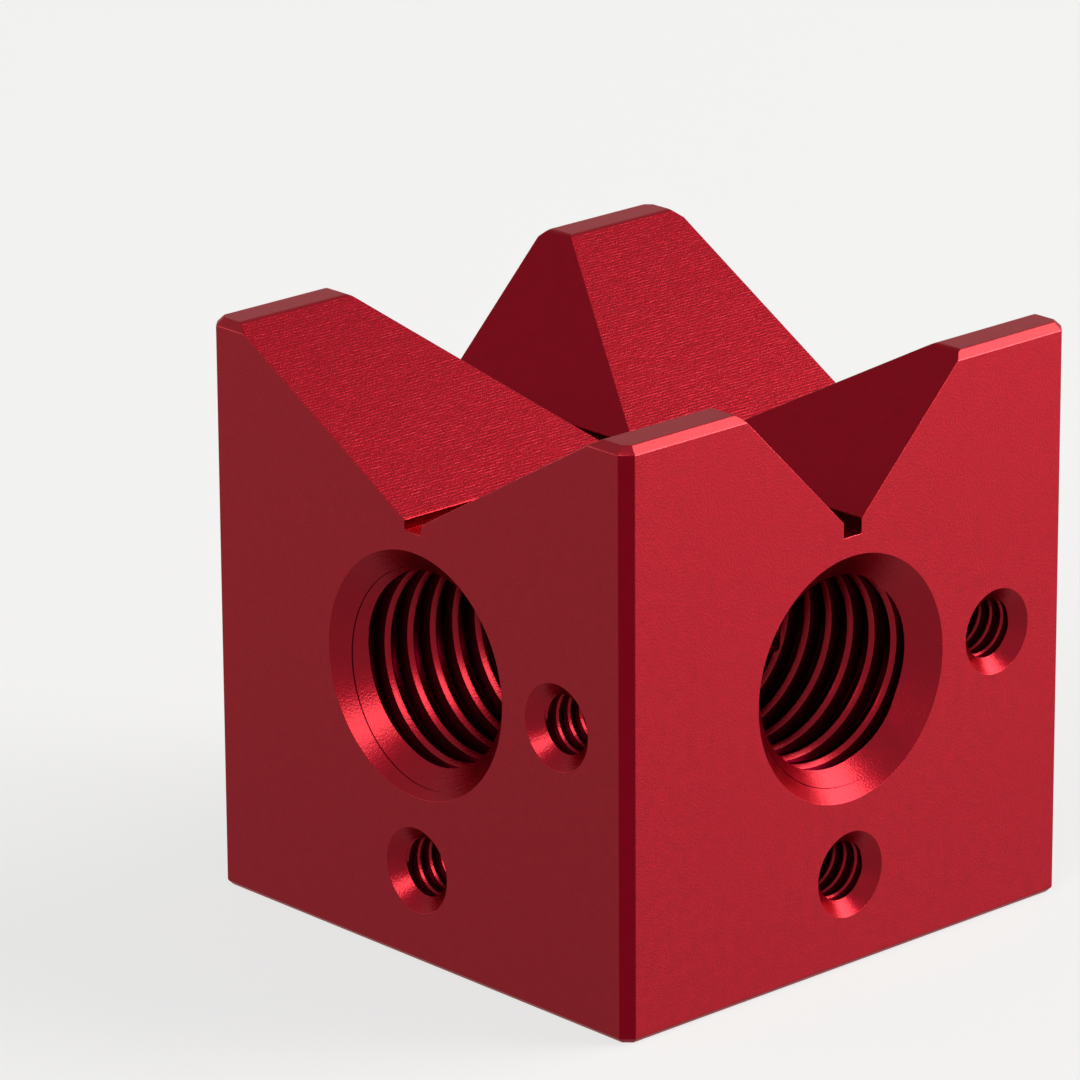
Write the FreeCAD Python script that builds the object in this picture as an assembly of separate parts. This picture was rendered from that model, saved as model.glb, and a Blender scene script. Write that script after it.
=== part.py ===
"""Two-way V block, milled from one cube of aluminium and anodised red.

A wide V groove runs along Y and a narrow V groove runs along X, across the top. They are equally
deep, each ends in a shallow relief slot, and they leave a flat land on each of the four corners.
A large tapped bore runs straight through along Y and another along X, and the two cross in the
middle of the block. Two of the sides each have two small blind tapped holes as well.

Every tapped hole is modelled at its tapping size, with the countersunk mouth that leads into the
thread. Millimetres. The origin is the middle of the underside, and +Z is up.
"""
import FreeCAD, Part
import math
import os

# Cube
SIDE_X = 50.8
SIDE_Y = 50.8
HEIGHT = 50.8
UPRIGHT_CHAMFER = 0.95
TOP_CHAMFER = 0.65
BOTTOM_CHAMFER = 0.5

# Wide V groove, along Y
WIDE_ANGLE = 120.0
WIDE_POINT_DEPTH = 12.7
WIDE_SLOT_WIDTH = 2.0
WIDE_SLOT_BELOW_POINT = 0.3
WIDE_HIP_RADIUS = 1.0

# Narrow V groove, along X
NARROW_ANGLE = 90.0
NARROW_POINT_DEPTH = 12.7
NARROW_SLOT_WIDTH = 2.0
NARROW_SLOT_BELOW_POINT = 0.3
NARROW_HIP_RADIUS = 1.0

# Large bores, through the middle of the block along Y and along X
LARGE_BORE_RADIUS = 8.35
LARGE_SINK_WIDTH = 2.3

# Small blind holes, in the -Y side and the +X side, at one distance from the large bore's axis
SMALL_BORE_RADIUS = 2.55
SMALL_SINK_WIDTH = 1.15
SMALL_BORE_DEPTH = 12.0
SMALL_HOLE_DISTANCE = 17.15

# Tools that cut every mouth and every blind end
COUNTERSINK_ANGLE = 90.0
DRILL_POINT_ANGLE = 118.0

# How far a cutting solid stands out past the face that it opens
OVERRUN = 1.0


def half_tan(angle):
    """Return the tangent of half an included angle given in degrees."""
    return math.tan(math.radians(angle / 2))


def edges_at_height(solid, height):
    """Return the edges that lie in the level plane at the given height."""
    flat = 1e-6
    return [
        edge
        for edge in solid.Edges
        if abs(edge.BoundBox.ZMin - height) < flat and abs(edge.BoundBox.ZMax - height) < flat
    ]


def upright_edges(solid):
    """Return the edges that run from the underside to the top."""
    return [edge for edge in solid.Edges if edge.BoundBox.ZLength > HEIGHT / 2]


def blank():
    """Make the cube with its corners and its upper and lower outlines chamfered."""
    corner = FreeCAD.Vector(-SIDE_X / 2, -SIDE_Y / 2, 0)
    cube = Part.makeBox(SIDE_X, SIDE_Y, HEIGHT, corner)
    cube = cube.makeChamfer(UPRIGHT_CHAMFER, upright_edges(cube))
    cube = cube.makeChamfer(TOP_CHAMFER, edges_at_height(cube, HEIGHT))
    return cube.makeChamfer(BOTTOM_CHAMFER, edges_at_height(cube, 0))


def groove_section(angle, point_depth, slot_width, slot_below_point, hip_radius):
    """Make the face that cuts a V groove, in the XZ plane and open at the top.

    The flanks meet the level lands over rounded hips, and stop at the sides of the relief slot.
    """
    half_mouth = point_depth * half_tan(angle)
    flank_turn = math.radians(90 - angle / 2)
    half_slot = slot_width / 2
    slot_top = HEIGHT - point_depth + half_slot / half_tan(angle)
    slot_floor = HEIGHT - point_depth - slot_below_point
    hip_centre_x = half_mouth + hip_radius * math.tan(flank_turn / 2)
    hip_centre_z = HEIGHT - hip_radius

    def on_hip(side, turn):
        """Return the point of a hip at an angle from its crest, towards the groove."""
        x = hip_centre_x - hip_radius * math.sin(turn)
        z = hip_centre_z + hip_radius * math.cos(turn)
        return FreeCAD.Vector(side * x, 0, z)

    def at(x, z):
        """Return a point of the section."""
        return FreeCAD.Vector(x, 0, z)

    above = HEIGHT + OVERRUN
    left_hip = Part.Arc(on_hip(-1, 0), on_hip(-1, flank_turn / 2), on_hip(-1, flank_turn))
    right_hip = Part.Arc(on_hip(1, flank_turn), on_hip(1, flank_turn / 2), on_hip(1, 0))
    outline = [
        Part.makeLine(at(-hip_centre_x, above), on_hip(-1, 0)),
        left_hip.toShape(),
        Part.makeLine(on_hip(-1, flank_turn), at(-half_slot, slot_top)),
        Part.makeLine(at(-half_slot, slot_top), at(-half_slot, slot_floor)),
        Part.makeLine(at(-half_slot, slot_floor), at(half_slot, slot_floor)),
        Part.makeLine(at(half_slot, slot_floor), at(half_slot, slot_top)),
        Part.makeLine(at(half_slot, slot_top), on_hip(1, flank_turn)),
        right_hip.toShape(),
        Part.makeLine(on_hip(1, 0), at(hip_centre_x, above)),
        Part.makeLine(at(hip_centre_x, above), at(-hip_centre_x, above)),
    ]
    return Part.Face(Part.Wire(outline))


def groove_cutter(section, length):
    """Run a groove's section along Y, past both sides of a block of the given length."""
    start = FreeCAD.Vector(0, -length / 2 - OVERRUN, 0)
    return section.translated(start).extrude(FreeCAD.Vector(0, length + 2 * OVERRUN, 0))


def quarter_turn(solid):
    """Turn a cutter that runs along Y so that it runs along X, with its -Y end at +X."""
    turned = solid.copy()
    turned.rotate(FreeCAD.Vector(0, 0, 0), FreeCAD.Vector(0, 0, 1), 90)
    return turned


def turned_cutter(profile):
    """Turn a profile of (radius, Y) points about the Y axis into a solid."""
    points = [FreeCAD.Vector(radius, y, 0) for radius, y in profile]
    face = Part.Face(Part.makePolygon(points + points[:1]))
    return face.revolve(FreeCAD.Vector(0, 0, 0), FreeCAD.Vector(0, 1, 0), 360)


def through_cutter(radius, sink_width, length):
    """Make a bore along Y through a block of the given length, countersunk at both sides."""
    slope = half_tan(COUNTERSINK_ANGLE)
    sink = sink_width / slope
    outside_radius = radius + sink_width + OVERRUN * slope
    end = length / 2
    return turned_cutter([
        (0, -end - OVERRUN),
        (outside_radius, -end - OVERRUN),
        (radius, -end + sink),
        (radius, end - sink),
        (outside_radius, end + OVERRUN),
        (0, end + OVERRUN),
    ])


def blind_cutter(radius, sink_width, depth, length):
    """Make a countersunk blind hole along Y, in from the -Y side of a block of the given length.

    The depth is that of the full bore, and the drill's point goes on below it.
    """
    slope = half_tan(COUNTERSINK_ANGLE)
    sink = sink_width / slope
    outside_radius = radius + sink_width + OVERRUN * slope
    side = -length / 2
    point = radius / half_tan(DRILL_POINT_ANGLE)
    return turned_cutter([
        (0, side - OVERRUN),
        (outside_radius, side - OVERRUN),
        (radius, side + sink),
        (radius, side + depth),
        (0, side + depth + point),
    ])


def large_bores():
    """Make the two bores that cross in the middle of the block."""
    middle = FreeCAD.Vector(0, 0, HEIGHT / 2)
    along_y = through_cutter(LARGE_BORE_RADIUS, LARGE_SINK_WIDTH, SIDE_Y)
    along_x = quarter_turn(through_cutter(LARGE_BORE_RADIUS, LARGE_SINK_WIDTH, SIDE_X))
    return [along_y.translated(middle), along_x.translated(middle)]


def small_holes():
    """Make the two holes of the -Y side and the two of the +X side.

    On each side one hole lies beside the large bore, to its right, and one lies below it.
    """
    front = blind_cutter(SMALL_BORE_RADIUS, SMALL_SINK_WIDTH, SMALL_BORE_DEPTH, SIDE_Y)
    right = quarter_turn(
        blind_cutter(SMALL_BORE_RADIUS, SMALL_SINK_WIDTH, SMALL_BORE_DEPTH, SIDE_X)
    )
    below = FreeCAD.Vector(0, 0, HEIGHT / 2 - SMALL_HOLE_DISTANCE)
    return [
        front.translated(FreeCAD.Vector(SMALL_HOLE_DISTANCE, 0, HEIGHT / 2)),
        front.translated(below),
        right.translated(FreeCAD.Vector(0, SMALL_HOLE_DISTANCE, HEIGHT / 2)),
        right.translated(below),
    ]


def v_block():
    """Mill the grooves and bore the holes, the way the real block is made."""
    wide_section = groove_section(
        WIDE_ANGLE, WIDE_POINT_DEPTH, WIDE_SLOT_WIDTH, WIDE_SLOT_BELOW_POINT, WIDE_HIP_RADIUS
    )
    narrow_section = groove_section(
        NARROW_ANGLE,
        NARROW_POINT_DEPTH,
        NARROW_SLOT_WIDTH,
        NARROW_SLOT_BELOW_POINT,
        NARROW_HIP_RADIUS,
    )
    wide_groove = groove_cutter(wide_section, SIDE_Y)
    narrow_groove = quarter_turn(groove_cutter(narrow_section, SIDE_X))
    block = blank()
    for cutter in [wide_groove, narrow_groove] + large_bores() + small_holes():
        block = block.cut(cutter)
    return block.Solids[0]


os.makedirs("parts", exist_ok=True)
v_block().exportStep("parts/v_block.step")
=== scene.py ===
"""Two-way V block of red anodised aluminium, with tapped bores, on a pale studio floor."""
import math

import bmesh
import bpy
import numpy as np
from mathutils import Matrix, Vector


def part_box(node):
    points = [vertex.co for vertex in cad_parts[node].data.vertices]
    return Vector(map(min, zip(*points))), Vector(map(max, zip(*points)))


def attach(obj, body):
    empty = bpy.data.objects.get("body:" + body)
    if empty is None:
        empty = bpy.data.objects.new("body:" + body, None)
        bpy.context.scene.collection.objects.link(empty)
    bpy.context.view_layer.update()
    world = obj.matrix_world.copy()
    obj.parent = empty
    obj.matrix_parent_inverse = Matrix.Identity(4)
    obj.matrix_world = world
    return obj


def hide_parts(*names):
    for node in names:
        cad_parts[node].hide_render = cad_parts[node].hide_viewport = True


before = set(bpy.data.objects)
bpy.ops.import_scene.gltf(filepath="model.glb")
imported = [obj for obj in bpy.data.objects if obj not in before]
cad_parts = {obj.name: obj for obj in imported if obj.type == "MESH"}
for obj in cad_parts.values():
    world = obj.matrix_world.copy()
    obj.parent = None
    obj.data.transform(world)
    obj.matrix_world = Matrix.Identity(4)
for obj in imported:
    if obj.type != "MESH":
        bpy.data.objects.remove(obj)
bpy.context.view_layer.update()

# Colour and grain of the block.
# Machined aluminium, blasted with fine beads and then anodised in a red dye bath. The dye sits in a
# clear oxide skin over the metal: deep red straight on, with a paler and greyer sheen at a low angle.
MM = 0.001

# The two shades of the dye on each kind of surface, and the tint that the metal's mirroring keeps at
# a low angle, where bare metal would mirror white. The milled surfaces' dye is darkened by a painted
# shade, and the threads' shades are a near black painted shade for the shade deep in the threads.
DYE = ("#760111", "#820217")
# The milled shades are the dye darkened by a painted shade.
MILLED_DYE_WITH_PAINTED_SHADE = ("#6C0110", "#780215")
# The thread shades are painted shade: near black, for the shade deep in the threads.
PAINTED_SHADE_IN_THREADS = ("#2C0006", "#360009")
EDGE_TINT = "#F3BCBC"

# Width of the blasted grain, of the dye's patches, of a cutter's streaks and of its feed steps. Real
# beads and steps leave marks too fine to show here, so the grain, streaks and steps are drawn coarser.
GRAIN_WIDTH = 0.2 * MM
PATCH_WIDTH = 1.1 * MM
STREAK_WIDTH = 0.14 * MM
CUTTER_STEP = 0.26 * MM

# How much rougher the paler patches are, and the skin's roughness as a share of the metal's.
PATCH_DULLING = 0.05
SKIN_SMOOTHNESS = 0.7


def linear(hex_colour):
    """Turn an sRGB hex colour into the linear RGBA of a shader socket, by the sRGB curve."""
    srgb = np.array([int(hex_colour[k:k + 2], 16) / 255 for k in (1, 3, 5)])
    curve = np.where(srgb <= 0.04045, srgb / 12.92, ((srgb + 0.055) / 1.055) ** 2.4)
    return (*curve, 1.0)


def add_node(tree, kind, inputs=None, **settings):
    """Add a node, set its properties, and give each named input a value or a link."""
    made = tree.nodes.new(kind)
    for name, value in settings.items():
        setattr(made, name, value)
    for name, value in (inputs or {}).items():
        if isinstance(value, bpy.types.NodeSocket):
            tree.links.new(value, made.inputs[name])
        else:
            made.inputs[name].default_value = value
    return made


def anodised_aluminium(name, shades, roughness, skin, grain_depth, drawn_out=None):
    """Make the anodised finish over one kind of cut surface.

    The dye's two shades lie side by side in soft patches, the skin is how much clear oxide shows, and
    the grain's depth is in metres. A noise's scale is 1 / the width of its features. A milled surface
    has drawn_out as well: the stretch of a second grain along the cutter's path, that grain's
    strength, and the axis and strength of the steps. The relief is then
    grain + strength * second grain + strength of the steps * sin(2 pi x / step's width).
    """
    finish = bpy.data.materials.new(name)
    finish.use_nodes = True
    tree = finish.node_tree
    tree.nodes.clear()
    place = add_node(tree, "ShaderNodeTexCoord").outputs["Object"]

    grain = add_node(tree, "ShaderNodeTexNoise", {
        "Vector": place, "Scale": 1 / GRAIN_WIDTH, "Detail": 2.0, "Roughness": 0.6,
    }).outputs["Fac"]
    dye = add_node(tree, "ShaderNodeTexNoise", {
        "Vector": place, "Scale": 1 / PATCH_WIDTH, "Detail": 4.0, "Roughness": 0.65,
    }).outputs["Fac"]

    relief = grain
    if drawn_out:
        stretch, streak, axis, step = drawn_out
        drawn = add_node(tree, "ShaderNodeVectorMath", {0: place, 1: stretch}, operation="MULTIPLY")
        streaks = add_node(tree, "ShaderNodeTexNoise", {
            "Vector": drawn.outputs["Vector"], "Scale": 1 / STREAK_WIDTH, "Detail": 2.0,
        })
        relief = add_node(tree, "ShaderNodeMath", {
            0: streaks.outputs["Fac"], 1: streak, 2: relief,
        }, operation="MULTIPLY_ADD").outputs[0]
        split = add_node(tree, "ShaderNodeSeparateXYZ", {"Vector": place})
        turns = add_node(tree, "ShaderNodeMath", {
            0: split.outputs[axis], 1: 2 * math.pi / CUTTER_STEP,
        }, operation="MULTIPLY")
        wave = add_node(tree, "ShaderNodeMath", {0: turns.outputs[0]}, operation="SINE")
        relief = add_node(tree, "ShaderNodeMath", {
            0: wave.outputs[0], 1: step, 2: relief,
        }, operation="MULTIPLY_ADD").outputs[0]
    bumps = add_node(tree, "ShaderNodeBump", {
        "Strength": 1.0, "Distance": grain_depth, "Height": relief,
    })

    red = add_node(tree, "ShaderNodeMix", {
        "Factor": dye, "A": linear(shades[0]), "B": linear(shades[1]),
    }, data_type="RGBA")
    shine = add_node(tree, "ShaderNodeMapRange", {
        "Value": dye,
        "From Min": 0.3,
        "From Max": 0.7,
        "To Min": roughness,
        "To Max": roughness + PATCH_DULLING,
    })
    surface = add_node(tree, "ShaderNodeBsdfPrincipled", {
        "Base Color": red.outputs["Result"],
        "Metallic": 1.0,
        "Roughness": shine.outputs["Result"],
        "Normal": bumps.outputs["Normal"],
        "Specular Tint": linear(EDGE_TINT),
        "Coat Weight": skin,
        "Coat Roughness": roughness * SKIN_SMOOTHNESS,
        "Coat Normal": bumps.outputs["Normal"],
    })
    add_node(tree, "ShaderNodeOutputMaterial", {"Surface": surface.outputs["BSDF"]})
    return finish


# The squared blank: a two-inch cube sawn from aluminium bar and milled flat on every side.
# Its upright corners are chamfered, and then the outlines of its top and of its underside.
UPRIGHT_CHAMFER = 0.95 * MM
TOP_CHAMFER = 0.65 * MM
BOTTOM_CHAMFER = 0.5 * MM

lowest, highest = (np.array(corner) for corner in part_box("v_block"))
side = highest[0] - lowest[0]
height = highest[2] - lowest[2]
bore_height = height / 2

# Blasted sides: an even, soft satin red with a fine grain, and the most of the skin's pale sheen.
blasted = anodised_aluminium("anodised_aluminium_blasted", DYE, 0.45, 0.27, 0.018 * MM)

# Milled corner faces: smoother than the sides, with hardly any sheen, and darker by a painted shade in
# their dye.
milled_edge_with_painted_shade = anodised_aluminium("anodised_aluminium_milled_edge_painted_shade", MILLED_DYE_WITH_PAINTED_SHADE, 0.34, 0.05, 0.010 * MM)


def add_piece(name, points, faces, material):
    """Put points and faces into a new mesh object at the origin, with its faces pointing outwards."""
    mesh = bpy.data.meshes.new(name)
    mesh.from_pydata(points.tolist(), [], faces)
    mesh.materials.append(material)
    shell = bmesh.new()
    shell.from_mesh(mesh)
    bmesh.ops.delete(shell, geom=[v for v in shell.verts if not v.link_faces], context="VERTS")
    bmesh.ops.recalc_face_normals(shell, faces=shell.faces)
    shell.to_mesh(mesh)
    shell.free()
    piece = bpy.data.objects.new(name, mesh)
    bpy.context.scene.collection.objects.link(piece)
    return piece


def lofted(rings):
    """Faces through a stack of closed rings of points, capped at both ends.

    The array is ring by point by coordinate. A wall face joins points j and j + 1 of rings k and
    k + 1.
    """
    count, around = rings.shape[:2]
    ring, point = np.meshgrid(np.arange(count - 1), np.arange(around), indexing="ij")
    here = ring * around + point
    beside = ring * around + (point + 1) % around
    walls = np.stack([here, beside, beside + around, here + around], axis=-1).reshape(-1, 4)
    caps = [list(range(around)), list(range((count - 1) * around, count * around))]
    return rings.reshape(-1, 3), walls.tolist() + caps


def chamfered_square(inset, level):
    """Eight corners of the cube's outline at one level, with its sides moved in by the inset.

    Moving the sides in by the inset shortens a corner chamfer's legs by (2 - sqrt 2) insets.
    """
    reach = side / 2 - inset
    short = reach - UPRIGHT_CHAMFER + (2 - math.sqrt(2)) * inset
    quarter = np.array([(reach, -short), (reach, short), (short, reach), (-short, reach)])
    outline = np.concatenate([quarter, -quarter])
    return np.column_stack([outline, np.full(8, level)])


def mill_upright_chamfers(blank):
    """Give the four upright corner faces the milled finish, whose darker dye is painted shade.

    Their normals lie level, halfway between X and Y: the part along Z is nearly 0, and no part is
    nearly 1.
    """
    nearly_nought = 0.1
    nearly_one = 0.9
    blank.data.materials.append(milled_edge_with_painted_shade)
    normals = np.empty(len(blank.data.polygons) * 3)
    blank.data.polygons.foreach_get("normal", normals)
    parts = np.abs(normals.reshape(-1, 3))
    corner_faces = (parts.max(axis=1) < nearly_one) & (parts[:, 2] < nearly_nought)
    blank.data.polygons.foreach_set("material_index", corner_faces.astype(np.int32))


levels = [
    (BOTTOM_CHAMFER, 0.0),
    (0.0, BOTTOM_CHAMFER),
    (0.0, height - TOP_CHAMFER),
    (TOP_CHAMFER, height),
]
block = add_piece(
    "v_block_machined", *lofted(np.stack([chamfered_square(*level) for level in levels])), blasted
)
mill_upright_chamfers(block)


# The two V grooves: a 120 degree one along Y and a 90 degree one along X, milled equally deep.
# A saw-like cutter leaves a relief slot along the point of each, and the hips are rounded over.
WIDE_ANGLE = 120
NARROW_ANGLE = 90
GROOVE_POINT_DEPTH = 12.7 * MM
SLOT_WIDTH = 2.0 * MM
SLOT_BELOW_POINT = 0.3 * MM
HIP_RADIUS = 1.0 * MM
HIP_STEPS = 8
OVERRUN = 1.0 * MM

# Flanks of the wide groove: brighter and glossier than the sides, with grain and steps that run
# along Y and break up the light.
wide_milled = anodised_aluminium(
    "anodised_aluminium_milled_along_y", DYE, 0.32, 0.15, 0.019 * MM, ((1.0, 0.12, 1.0), 0.9, "X", 0.10)
)

# Flanks of the narrow groove: the same marks along X, with less sheen, in a red darkened by a painted
# shade.
narrow_milled_with_painted_shade = anodised_aluminium(
    "anodised_aluminium_milled_along_x_painted_shade", MILLED_DYE_WITH_PAINTED_SHADE, 0.32, 0.08, 0.018 * MM,
    ((0.12, 1.0, 1.0), 0.7, "Y", 0.12),
)


def rounded_line(corners):
    """Points along a line of (x, y, radius, steps) corners, with an arc for each rounded corner.

    An arc's centre lies on its corner's bisector, radius / sin(half the corner's angle) away, and
    its ends lie radius / tan(half the angle) along the two sides. The end points aren't rounded.
    """
    path = np.array(corners, float)
    points = [path[0, :2]]
    for before, corner, after in zip(path[:-2], path[1:-1], path[2:]):
        middle, radius, steps = corner[:2], corner[2], int(corner[3])
        if radius == 0:
            points.append(middle)
            continue
        back = (before[:2] - middle) / np.linalg.norm(before[:2] - middle)
        on = (after[:2] - middle) / np.linalg.norm(after[:2] - middle)
        half = math.acos(np.clip(back @ on, -1, 1)) / 2
        bisector = (back + on) / np.linalg.norm(back + on)
        across = (on - back) / np.linalg.norm(on - back)
        sweep = np.linspace(-1, 1, steps + 1) * (math.pi / 2 - half)
        centre = middle + bisector * radius / math.sin(half)
        arc = centre + radius * (np.outer(np.sin(sweep), across) - np.outer(np.cos(sweep), bisector))
        points.extend(arc)
    points.append(path[-1, :2])
    return np.array(points)


def triangulated(piece):
    """Split every face of a piece into triangles, which are flat and so cut without gaps."""
    shell = bmesh.new()
    shell.from_mesh(piece.data)
    bmesh.ops.triangulate(shell, faces=shell.faces)
    shell.to_mesh(piece.data)
    shell.free()


def cut_away(cutters):
    """Take closed cutters out of the block at once, and leave each one's finish on its cut."""
    tools = bpy.data.collections.new("cutters")
    bpy.context.scene.collection.children.link(tools)
    for cutter in cutters:
        tools.objects.link(cutter)
        triangulated(cutter)
    triangulated(block)
    cut = block.modifiers.new("cut", "BOOLEAN")
    cut.operation = "DIFFERENCE"
    cut.solver = "EXACT"
    cut.material_mode = "TRANSFER"
    cut.operand_type = "COLLECTION"
    cut.collection = tools
    bpy.context.view_layer.update()
    result = bpy.data.meshes.new_from_object(block.evaluated_get(bpy.context.evaluated_depsgraph_get()))
    block.modifiers.clear()
    block.data = result
    for cutter in cutters:
        bpy.data.objects.remove(cutter)
    bpy.data.collections.remove(tools)


def groove_cutter(name, angle, along, across, finish):
    """Run a V section, with a slot along its point and rounded hips, past both ends of the block.

    The flanks stand depth * tan(half the angle) out from the middle at the top. The line is drawn
    from out on the land, and then starts where it leaves the land.
    """
    slope = math.tan(math.radians(angle / 2))
    half_mouth = GROOVE_POINT_DEPTH * slope
    half_slot = SLOT_WIDTH / 2
    slot_top = height - GROOVE_POINT_DEPTH + half_slot / slope
    slot_floor = height - GROOVE_POINT_DEPTH - SLOT_BELOW_POINT
    half_section = rounded_line([
        (half_mouth + 2 * HIP_RADIUS, height, 0, 0),
        (half_mouth, height, HIP_RADIUS, HIP_STEPS),
        (half_slot, slot_top, 0, 0),
        (half_slot, slot_floor, 0, 0),
        (0, slot_floor, 0, 0),
    ])
    hairsbreadth = 1e-7
    on_land = half_section[half_section[:, 1] > height - hairsbreadth]
    half_section = half_section[len(on_land) - 1:]
    top = [(half_section[0, 0], height + OVERRUN)]
    right = np.concatenate([top, half_section[:-1]])
    section = np.concatenate([right, (right * (-1, 1))[::-1]])
    ends = np.array([-1, 1]) * (side / 2 + OVERRUN)
    rings = section[None, :, :1] * across + ends[:, None, None] * along + section[None, :, 1:] * (0, 0, 1)
    return add_piece(name, *lofted(rings), finish)


x_axis = np.array([1.0, 0.0, 0.0])
y_axis = np.array([0.0, 1.0, 0.0])
cut_away([
    groove_cutter("wide_groove", WIDE_ANGLE, y_axis, x_axis, wide_milled),
    groove_cutter("narrow_groove", NARROW_ANGLE, x_axis, y_axis, narrow_milled_with_painted_shade),
])


# Edges left by the cutters: deburred with a stone and softened by the blasting.
# A rounding of less than a tenth of a millimetre catches the light along every sharp edge.
EDGE_BREAK = 0.09 * MM
EDGE_STEPS = 2
SHARP_FROM = math.radians(20)
LEVEL_WITHIN = math.radians(0.1)
SAME_POINT = 0.001 * MM


def break_edges():
    """Round the sharp edges of the block, and leave the fine facets of its hips alone."""
    shell = bmesh.new()
    shell.from_mesh(block.data)
    bmesh.ops.remove_doubles(shell, verts=shell.verts, dist=SAME_POINT)
    bmesh.ops.dissolve_limit(
        shell, angle_limit=LEVEL_WITHIN, verts=shell.verts, edges=shell.edges, delimit={"MATERIAL"}
    )
    sharp = [e for e in shell.edges if len(e.link_faces) == 2 and e.calc_face_angle() > SHARP_FROM]
    bmesh.ops.bevel(
        shell, geom=sharp, offset=EDGE_BREAK, offset_type="OFFSET", segments=EDGE_STEPS, profile=0.5,
        affect="EDGES", clamp_overlap=False, material=-1,
    )
    shell.to_mesh(block.data)
    shell.free()


break_edges()


# The four tapped mouths: two large bores that cross in the middle, open at all four sides.
# Bored, countersunk at 90 degrees, and cut with a 60 degree thread of ten turns to the inch.
LARGE_CREST_RADIUS = 8.35 * MM
LARGE_ROOT_RADIUS = 9.6 * MM
LARGE_PITCH = 2.54 * MM
LARGE_MOUTH_RADIUS = 10.65 * MM
LARGE_STEPS = 72
MOUTH_STEPS = 144
MOUTH_OVERLAP = 0.4 * MM

# The lean of a thread's flanks, and what the blasting took: the wear of a crest's edges and the
# rounding of every edge, as shares of the pitch.
FLANK_SLOPE = math.tan(math.radians(30))
CREST_WEAR = 0.15
EDGE_SOFTENING = 0.03

# How a tap's thread ends: it runs out over the last turns, and in a countersink its radius starts
# just inside the crest's and grows by so much for each unit of depth.
RUN_OUT_TURNS = 1.5
LEAD_START = 0.995
LEAD_GROWTH = 2

# The lip of each large mouth, and how far its cutter flares out above the side.
LARGE_LIP = 0.05 * MM
LIP_FLARE = 4
LIP_STEPS = 3

# The score that a tap leaves on its countersink: its depth, where it begins and ends round the
# mouth, and how far round it trails the thread.
SCORE_DEPTH = 0.08 * MM
SCORE_FROM = math.radians(110)
SCORE_TO = math.radians(285)
SCORE_POINTS = 91
SCORE_LAG = 0.05

# How far round the thread has come, in turns, where it enters the front and the right side.
FRONT_PHASE = 0.99
RIGHT_PHASE = 1.10

# Cut walls of the holes: glossy, with the deepest grain, so a countersink sparkles in the light.
tapped = anodised_aluminium("anodised_aluminium_tapped", DYE, 0.30, 0.2, 0.022 * MM)

# Flanks and bottoms of the threads: almost black red with no sheen, a painted shade that stands in
# for the shade deep in the threads, so the crests stand out.
painted_thread_shade = anodised_aluminium("anodised_aluminium_painted_thread_shade", PAINTED_SHADE_IN_THREADS, 0.36, 0.0, 0.012 * MM)


def thread_profile(crest, root, pitch):
    """One pitch of thread as (height, radius) points, from the middle of a groove to the next.

    The groove's flat bottom is an eighth of a pitch wide and its flanks lean 30 degrees. The
    blasting has worn both edges of the crest down to 45 degrees.
    """
    worn = CREST_WEAR * pitch
    soft = EDGE_SOFTENING * pitch
    bottom = pitch / 16
    shoulder = bottom + (root - crest - worn) * FLANK_SLOPE
    top = shoulder + worn
    return rounded_line([
        (0, root, 0, 0),
        (bottom, root, soft, 2),
        (shoulder, crest + worn, soft, 1),
        (top, crest, soft, 2),
        (pitch - top, crest, soft, 2),
        (pitch - shoulder, crest + worn, soft, 1),
        (pitch - bottom, root, soft, 2),
        (pitch, root, 0, 0),
    ])


def tap_cutter(profile, pitch, start, turns, steps, taper, mouths, sink):
    """Right-handed screw surface about Z, as points and faces of a closed solid.

    Point (i, j) stands at angle 2 pi i / steps and height start + pitch i / steps + profile[j].
    Row j = last of turn n is row j = 0 of turn n + 1. Each end is closed by a fan to the axis.
    The radius shrinks to (1 - taper) as the thread runs out. It also stays at the crest above the
    countersink's bottom, a sink below each mouth, and from there on grows with the depth.
    """
    heights, radii = profile[:-1, 0], profile[:-1, 1]
    rows = len(heights)
    count = turns * steps
    i, j = np.meshgrid(np.arange(count + steps + 1), np.arange(rows), indexing="ij")
    angle = 2 * math.pi * i / steps
    rise = pitch * i / steps + heights[j]
    run_out = np.clip((rise / pitch - (turns - RUN_OUT_TURNS)) / RUN_OUT_TURNS, 0, 1)
    depth = np.minimum(start + rise - mouths[0], mouths[1] - start - rise)
    lead = radii.min() * LEAD_START + LEAD_GROWTH * np.clip(depth - sink, 0, None)
    radius = np.minimum(radii[j], lead) * (1 - taper * run_out)
    surface = np.stack([radius * np.cos(angle), radius * np.sin(angle), start + rise], axis=-1)
    points = surface.reshape(-1, 3)

    def number(turned, row):
        """Number of point (turned, row), where the row after the last is the next turn's first."""
        return np.where(row < rows, turned * rows + row, (turned + steps) * rows)

    i, j = np.meshgrid(np.arange(count), np.arange(rows), indexing="ij")
    corners = [number(i, j), number(i + 1, j), number(i + 1, j + 1), number(i, j + 1)]
    walls = np.stack(corners, axis=-1).reshape(-1, 4)
    turn = np.arange(steps + 1)
    line = np.arange(rows - 1, 0, -1)
    foot = np.concatenate([number(turn, 0 * turn), number(0 * line, line)])
    head = np.concatenate([number(count + turn, 0 * turn), number(count + 0 * line, line)])
    axis_points = [(0, 0, start + pitch / 2), (0, 0, start + pitch * (turns + 0.5))]
    fans = [
        np.column_stack([loop, np.roll(loop, -1), np.full(len(loop), len(points) + k)])
        for k, loop in enumerate((foot, head))
    ]
    faces = walls.tolist() + np.concatenate(fans).tolist()
    return np.concatenate([points, axis_points]), faces


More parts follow.
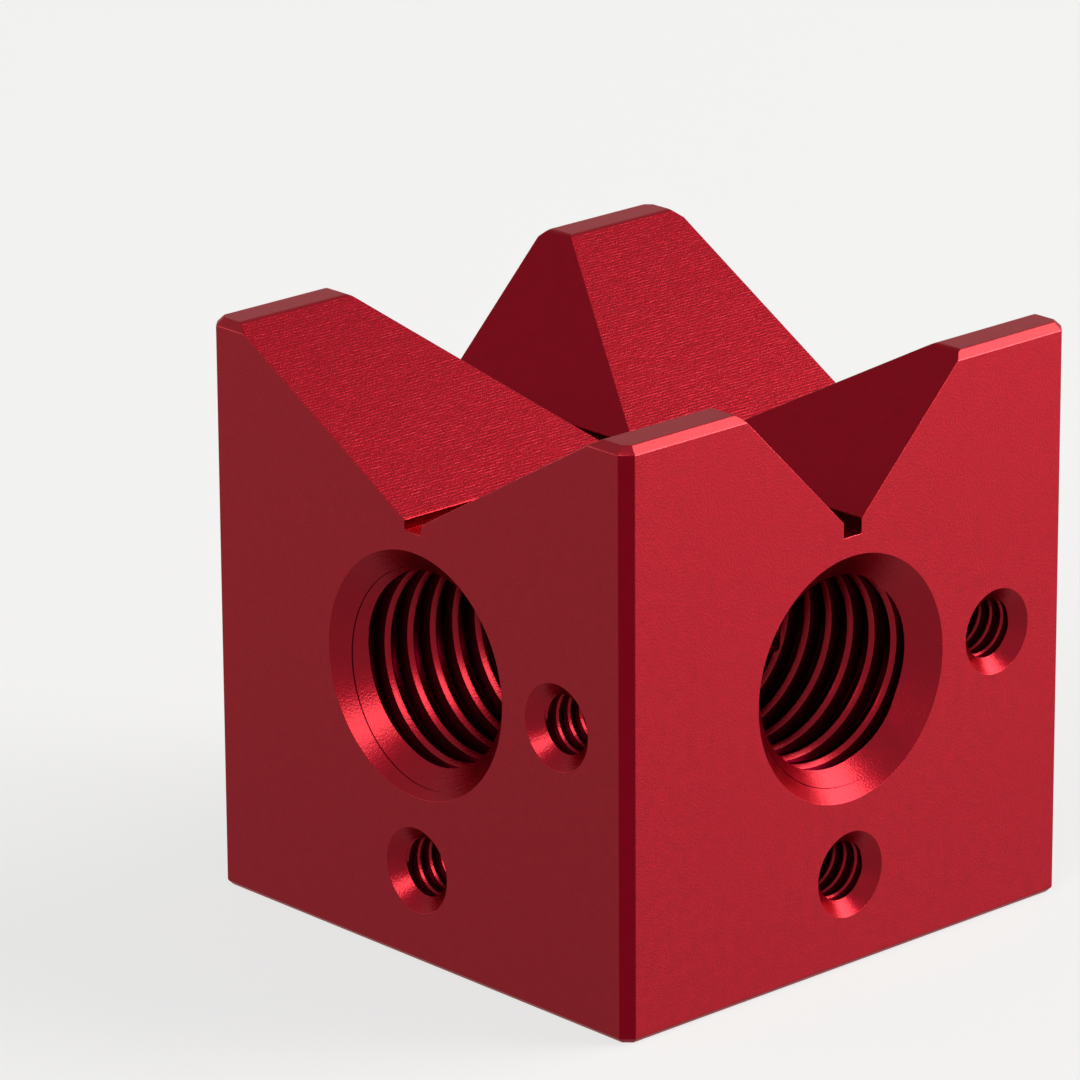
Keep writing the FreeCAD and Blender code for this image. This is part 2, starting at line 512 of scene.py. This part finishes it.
def paint_shade_in_threads(cutter, profile, pitch):
    """Leave the bright finish on the crests' worn edges, and give the rest of a thread a near black
    painted shade.

    Wall face number f lies on row f modulo the number of rows. The triangles of the ends follow. A
    worn edge lies between the crest's flat, where the height above the crest is 0 wears, and 1 wear.
    """
    clear_of_flat = 0.1
    cutter.data.materials.append(painted_thread_shade)
    middle_radius = (profile[:-1, 1] + profile[1:, 1]) / 2
    above_crest = (middle_radius - profile[:, 1].min()) / (CREST_WEAR * pitch)
    worn = (above_crest > clear_of_flat) & (above_crest < 1)
    corners = np.empty(len(cutter.data.polygons), np.int32)
    cutter.data.polygons.foreach_get("loop_total", corners)
    finish = np.where(corners == 4, np.resize(~worn, len(corners)), 0)
    cutter.data.polygons.foreach_set("material_index", finish.astype(np.int32))
    return cutter


def turned_cutter(profile, steps):
    """Solid turned about Z from (height, radius) points, whose first and last rings are capped."""
    angle = np.linspace(0, 2 * math.pi, steps, endpoint=False)
    heights, radii = profile[:, :1], profile[:, 1:]
    return lofted(np.stack([
        radii * np.cos(angle), radii * np.sin(angle), heights + 0 * angle
    ], axis=-1))


def set_in_side(points, axis, right, centre):
    """Carry a cutter from the Z axis to a hole: Z goes in along the axis, X to the hole's right."""
    down = np.cross(axis, right)
    return points @ np.stack([right, down, axis]) + centre


def lip_corners(mouth, lip):
    """First two corners of a mouth's outline: flared out above the side, rounded at its level."""
    return [
        (-OVERRUN, mouth + lip + OVERRUN * LIP_FLARE, 0, 0),
        (0.0, mouth + 0.5 * lip, 2 * lip, LIP_STEPS),
    ]


def tap_mark(phase):
    """Fine helical score that the tap leaves on the countersink, as a thin closed sweep.

    Its path stands on the cone at depth pitch (phase - turn / 2 pi), from the upper left round to
    the bottom. Its section is a four-sided ring whose size is the root of the sine of how far along
    it is, so it shrinks to almost nothing at both ends.
    """
    turn = np.linspace(SCORE_FROM, SCORE_TO, SCORE_POINTS)
    inwards = LARGE_PITCH * (phase - turn / (2 * math.pi))
    radius = LARGE_MOUTH_RADIUS - inwards
    blunt_end = 0.02
    swell = SCORE_DEPTH * np.sqrt(np.sin(np.linspace(blunt_end, math.pi - blunt_end, len(turn))))
    out = np.array([1, 0, -1, 0])
    along = np.array([0, 1, 0, -1])
    ring_radius = radius[:, None] + swell[:, None] * out
    ring_depth = inwards[:, None] + swell[:, None] * along
    return lofted(np.stack([
        ring_radius * np.cos(turn)[:, None], -ring_radius * np.sin(turn)[:, None], ring_depth
    ], axis=-1))


def through_bore(name, axis, right, phase):
    """Cutters of a bore that is threaded right through the block and countersunk at both sides.

    The thread starts two pitches before the near side, less its phase, and ends past the far one.
    """
    centre = np.array([0, 0, bore_height])
    turns = math.ceil((side + 2 * OVERRUN) / LARGE_PITCH) + 2
    start = -side / 2 - LARGE_PITCH * (2 - phase)
    profile = thread_profile(LARGE_CREST_RADIUS, LARGE_ROOT_RADIUS, LARGE_PITCH)
    points, faces = tap_cutter(
        profile, LARGE_PITCH, start, turns, LARGE_STEPS, 0.0, (-side / 2, side / 2),
        LARGE_MOUTH_RADIUS - LARGE_CREST_RADIUS,
    )
    cutters = [add_piece(name, set_in_side(points, axis, right, centre), faces, tapped)]
    paint_shade_in_threads(cutters[0], profile, LARGE_PITCH)
    bottom_radius = LARGE_CREST_RADIUS - MOUTH_OVERLAP
    cone = rounded_line([
        *lip_corners(LARGE_MOUTH_RADIUS, LARGE_LIP),
        (LARGE_MOUTH_RADIUS - bottom_radius, bottom_radius, 0, 0),
    ])
    points, faces = turned_cutter(cone, MOUTH_STEPS)
    for inwards, beside in ((axis, right), (-axis, -right)):
        mouth = centre - inwards * side / 2
        cutters.append(add_piece(name, set_in_side(points, inwards, beside, mouth), faces, tapped))
    points, faces = tap_mark(phase + SCORE_LAG)
    # The score takes the threads' painted shade, which darkens its groove.
    mark = add_piece(name, set_in_side(points, axis, right, centre - axis * side / 2), faces, painted_thread_shade)
    return cutters + [mark]


holes = through_bore("bore_along_y", y_axis, x_axis, FRONT_PHASE)
holes += through_bore("bore_along_x", -x_axis, y_axis, RIGHT_PHASE)


# The four small tapped holes: two in the front side and two in the right side, each drilled blind.
# Each has a drill's 118 degree point, a 90 degree countersink and twenty turns to the inch.
SMALL_CREST_RADIUS = 2.55 * MM
SMALL_ROOT_RADIUS = 3.175 * MM
SMALL_PITCH = 1.27 * MM
SMALL_MOUTH_RADIUS = 3.7 * MM
SMALL_LIP = 0.06 * MM
SMALL_DEPTH = 12.0 * MM
SMALL_DISTANCE = 17.15 * MM
DRILL_POINT_ANGLE = 118
DRILL_TIP = 0.02
DRILL_STEPS = 72

# The small tap's path: it starts so many pitches above the side, makes so many turns in so many
# steps each, and tapers by a share of its radius where it runs out. Its crest stays just inside the
# drill's wall.
SMALL_START = -1.8
SMALL_TURNS = 11
SMALL_STEPS = 36
SMALL_TAPER = 0.25
CREST_INSIDE_DRILL = 0.02 * MM


def blind_hole(name, axis, right, centre):
    """Cutters of one blind hole, in from the side of the block: the drill's shape and the tap's.

    The drill's point is as long as its radius / tan(half its angle), and ends in a narrow tip.
    """
    point = SMALL_CREST_RADIUS / math.tan(math.radians(DRILL_POINT_ANGLE / 2))
    drilled = rounded_line([
        *lip_corners(SMALL_MOUTH_RADIUS, SMALL_LIP),
        (SMALL_MOUTH_RADIUS - SMALL_CREST_RADIUS, SMALL_CREST_RADIUS, 0, 0),
        (SMALL_DEPTH, SMALL_CREST_RADIUS, 0, 0),
        (SMALL_DEPTH + point * (1 - DRILL_TIP), SMALL_CREST_RADIUS * DRILL_TIP, 0, 0),
    ])
    points, faces = turned_cutter(drilled, DRILL_STEPS)
    cutters = [add_piece(name, set_in_side(points, axis, right, centre), faces, tapped)]
    profile = thread_profile(SMALL_CREST_RADIUS - CREST_INSIDE_DRILL, SMALL_ROOT_RADIUS, SMALL_PITCH)
    points, faces = tap_cutter(
        profile, SMALL_PITCH, SMALL_START * SMALL_PITCH, SMALL_TURNS, SMALL_STEPS, SMALL_TAPER,
        (0, math.inf), SMALL_MOUTH_RADIUS - SMALL_CREST_RADIUS,
    )
    thread = add_piece(name, set_in_side(points, axis, right, centre), faces, tapped)
    return cutters + [paint_shade_in_threads(thread, profile, SMALL_PITCH)]


for name, axis, right, beside, below in (
    ("front_side_hole", y_axis, x_axis, SMALL_DISTANCE, 0.0),
    ("front_low_hole", y_axis, x_axis, 0.0, SMALL_DISTANCE),
    ("right_side_hole", -x_axis, y_axis, SMALL_DISTANCE, 0.0),
    ("right_low_hole", -x_axis, y_axis, 0.0, SMALL_DISTANCE),
):
    centre = right * beside - axis * side / 2 + np.array([0, 0, bore_height - below])
    holes += blind_hole(name, axis, right, centre)
cut_away(holes)


# The finished block: one machined piece, washed and anodised whole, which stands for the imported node.
# Flat sides stay flat in the light, and only the cut curves and the broken edges are smooth.
CUT_SEAM = 0.0005 * MM
LEVEL_CUT_WITHIN = math.radians(0.05)
SMOOTH_UP_TO = math.radians(32)
LARGE_FACE_WEIGHT = 80


def finish_block():
    """Merge the cuts' seams, join level faces, and let the large faces rule the shading."""
    shell = bmesh.new()
    shell.from_mesh(block.data)
    bmesh.ops.remove_doubles(shell, verts=shell.verts, dist=CUT_SEAM)
    bmesh.ops.dissolve_limit(
        shell, angle_limit=LEVEL_CUT_WITHIN, verts=[], edges=shell.edges, delimit={"MATERIAL"}
    )
    shell.to_mesh(block.data)
    shell.free()
    block.data.shade_smooth()
    block.data.set_sharp_from_angle(angle=SMOOTH_UP_TO)
    shading = block.modifiers.new("shading", "WEIGHTED_NORMAL")
    shading.keep_sharp = True
    shading.weight = LARGE_FACE_WEIGHT


finish_block()
block.name = block.data.name = "v_block_machined"
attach(block, "root")
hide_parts("v_block")


# The studio floor and its air: one pale painted board, lit evenly, that takes a soft shadow.
# The camera and the metal see the same pale grey around the block on all sides.
BACKDROP = "#F2F2F2"
FLOOR_PAINT = "#C8C8C8"
FLOOR_REACH = 20.0
FLOOR_GLOW_SHARE = 0.8
AIR_LIGHT = 0.4


def seen_or_mirrored(tree):
    """Socket that is 1 for rays from the camera, from a reflection or through glass, else 0."""
    path = add_node(tree, "ShaderNodeLightPath")
    mirrored = add_node(tree, "ShaderNodeMath", {
        0: path.outputs["Is Camera Ray"], 1: path.outputs["Is Glossy Ray"],
    }, operation="MAXIMUM")
    return add_node(tree, "ShaderNodeMath", {
        0: mirrored.outputs[0], 1: path.outputs["Is Transmission Ray"],
    }, operation="MAXIMUM").outputs[0]


def pale_floor():
    """Painted board: matt grey paint under the lamps, with an even pale glow for eye and mirrors.

    The eye gets glow * share + paint * (1 - share), so the shadow stays soft and faint.
    """
    paint = bpy.data.materials.new("studio_floor")
    paint.use_nodes = True
    tree = paint.node_tree
    tree.nodes.clear()
    matt = add_node(tree, "ShaderNodeBsdfDiffuse", {"Color": linear(FLOOR_PAINT)})
    even = add_node(tree, "ShaderNodeEmission", {"Color": linear(BACKDROP), "Strength": 1.0})
    share = add_node(tree, "ShaderNodeMath", {
        0: seen_or_mirrored(tree), 1: FLOOR_GLOW_SHARE,
    }, operation="MULTIPLY")
    board = add_node(tree, "ShaderNodeMixShader", {
        0: share.outputs[0], 1: matt.outputs[0], 2: even.outputs[0],
    })
    add_node(tree, "ShaderNodeOutputMaterial", {"Surface": board.outputs[0]})
    return paint


corners = np.array([(-1, -1, 0), (1, -1, 0), (1, 1, 0), (-1, 1, 0)]) * FLOOR_REACH
floor = add_piece("studio_floor", corners, [[0, 1, 2, 3]], pale_floor())

# The air shines at full strength where it is seen, and more softly where it lights the block.
world = bpy.data.worlds.new("studio_air")
bpy.context.scene.world = world
world.use_nodes = True
world.node_tree.nodes.clear()
air = add_node(world.node_tree, "ShaderNodeMath", {
    0: seen_or_mirrored(world.node_tree), 1: 1 - AIR_LIGHT, 2: AIR_LIGHT,
}, operation="MULTIPLY_ADD")
glow = add_node(world.node_tree, "ShaderNodeBackground", {
    "Color": linear(BACKDROP), "Strength": air.outputs[0],
})
add_node(world.node_tree, "ShaderNodeOutputWorld", {"Surface": glow.outputs[0]})


# Lamps: soft boxes on stands, hidden from the camera.
# The broad one stands low at the right, the key high behind it, and two small ones stand in front.
LAMP_DISTANCE = 2.5
WARM_WHITE = (1.0, 0.97, 0.88)


def soft_box(name, turn, rise, width, watts):
    """Round soft box that faces the block's middle, as far from it as all the others.

    It stands a turn to the right of the front and a rise above the level, both in degrees.
    """
    lamp = bpy.data.lights.new(name, "AREA")
    lamp.shape = "DISK"
    lamp.size = width
    lamp.energy = watts
    lamp.color = WARM_WHITE
    stand = bpy.data.objects.new(name, lamp)
    bpy.context.scene.collection.objects.link(stand)
    middle = Vector((0, 0, height / 2))
    turn, rise = math.radians(turn), math.radians(rise)
    towards = Vector((
        math.sin(turn) * math.cos(rise), -math.cos(turn) * math.cos(rise), math.sin(rise)
    ))
    stand.location = middle + towards * LAMP_DISTANCE
    stand.rotation_euler = towards.to_track_quat("Z", "Y").to_euler()
    stand.visible_camera = False


soft_box("broad_right", 134, 10, 1.39, 127)
soft_box("key_back_right", 153, 39, 1.67, 64)
soft_box("front_high", 22, 34, 1.25, 34.7)
soft_box("front_low_left", 310, 10, 1.11, 17)


# Camera: a long lens from above the block's front corner.
# Its frame is 1080 by 1080, and nothing in it is shifted or out of focus.
AZIMUTH = math.radians(47.388)
ELEVATION = math.radians(18.627)
ROLL = math.radians(-0.366)
CAMERA_PLACE = (0.411840, -0.390135, 0.222514)
FOCAL_LENGTH = 236.873
SENSOR_WIDTH = 36.0

camera = bpy.data.objects.new("camera", bpy.data.cameras.new("camera"))
bpy.context.scene.collection.objects.link(camera)
back = Vector((
    math.sin(AZIMUTH) * math.cos(ELEVATION),
    -math.cos(AZIMUTH) * math.cos(ELEVATION),
    math.sin(ELEVATION),
))
level = Vector((math.cos(AZIMUTH), math.sin(AZIMUTH), 0))
right = level * math.cos(ROLL) + back.cross(level) * math.sin(ROLL)
turn = Matrix((right, back.cross(right), back)).transposed().to_4x4()
camera.matrix_world = Matrix.Translation(CAMERA_PLACE) @ turn
camera.data.lens = FOCAL_LENGTH
camera.data.sensor_width = SENSOR_WIDTH
camera.data.clip_start = 0.05
camera.data.clip_end = 100.0
bpy.context.scene.camera = camera

bpy.context.scene.view_settings.view_transform = "Standard"
